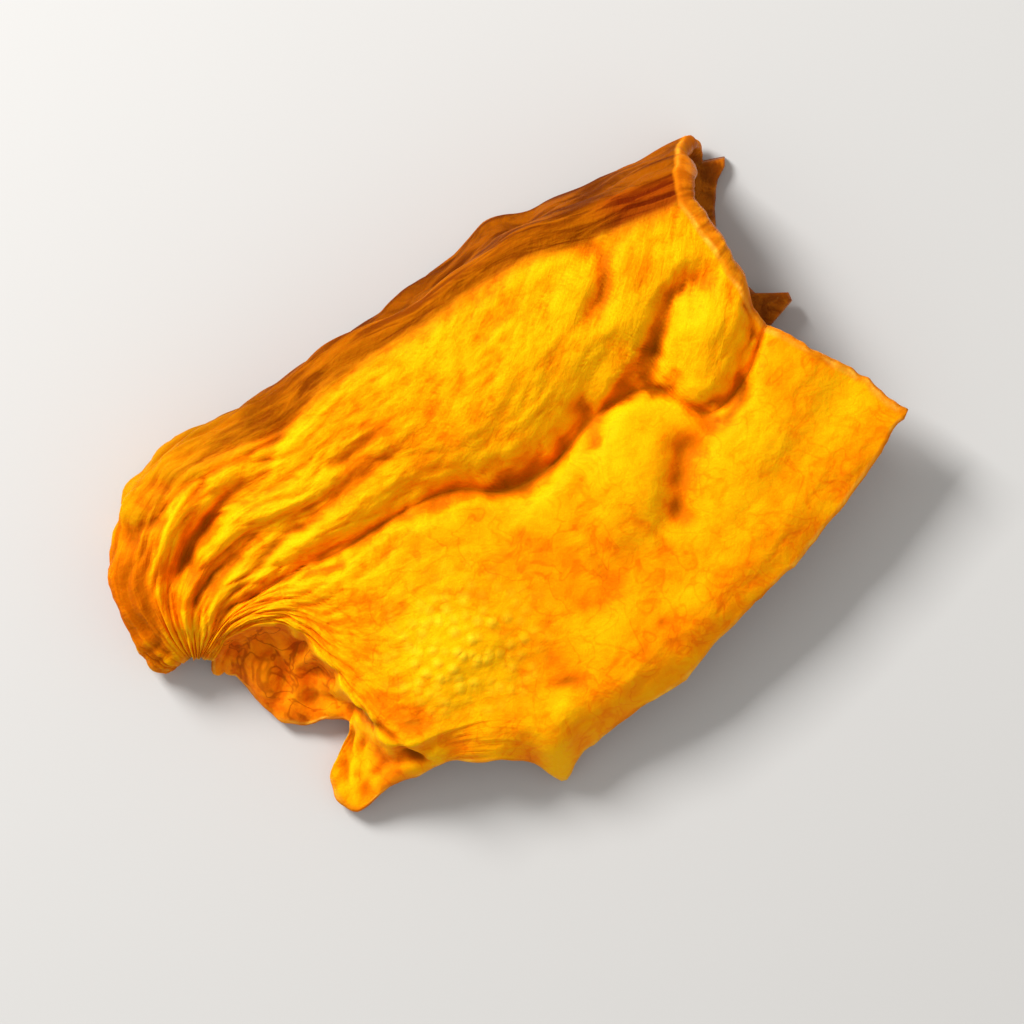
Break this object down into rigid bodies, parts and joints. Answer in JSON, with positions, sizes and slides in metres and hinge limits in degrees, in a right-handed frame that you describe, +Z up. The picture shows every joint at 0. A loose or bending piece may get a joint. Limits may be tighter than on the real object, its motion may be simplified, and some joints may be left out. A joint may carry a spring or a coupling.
{
  "type": "dried mango slice",
  "caption": "Dried mango slice, golden and leathery, rolled over along one long side with a second layer under it, creased and pleated towards one end.",
  "frame": {"origin": "middle of the slice's bounding box on the table that it rests on", "axes": "+X along the slice towards its cut end, +Y across it towards the rolled margin, +Z up"},
  "size_m": [0.076, 0.0508, 0.0146],
  "materials": {
    "dried_mango": "dry golden yellow flesh, matte with a soft sheen, orange in the creases and brown along the rolled margin"
  },
  "bodies": {
    "root": {"mango_slice": "dried_mango"}
  },
  "joints": []
}
